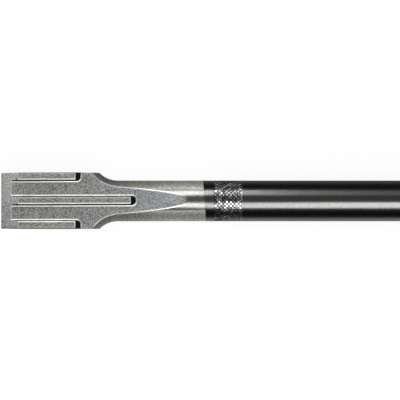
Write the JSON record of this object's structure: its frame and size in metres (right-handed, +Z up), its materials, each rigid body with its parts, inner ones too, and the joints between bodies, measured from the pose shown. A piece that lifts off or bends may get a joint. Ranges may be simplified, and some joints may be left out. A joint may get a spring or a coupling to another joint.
{
  "type": "flat chisel",
  "caption": "Straight forged steel flat chisel with ribbed faces, ground edge, round bar, knurled grip band and slotted hammer shank.",
  "frame": {"origin": "centre of the flat striking end of the shank", "axes": "+X along the bar, from the cutting edge out of the striking end; +Y across the blade's width; +Z up from the blade's flat face"},
  "size_m": [0.28, 0.0246, 0.018],
  "materials": {
    "forged_steel": "shot-blasted bare steel on the blade, satin black coat on the bar and shank"
  },
  "bodies": {
    "root": {"chisel": "forged_steel"}
  },
  "joints": []
}
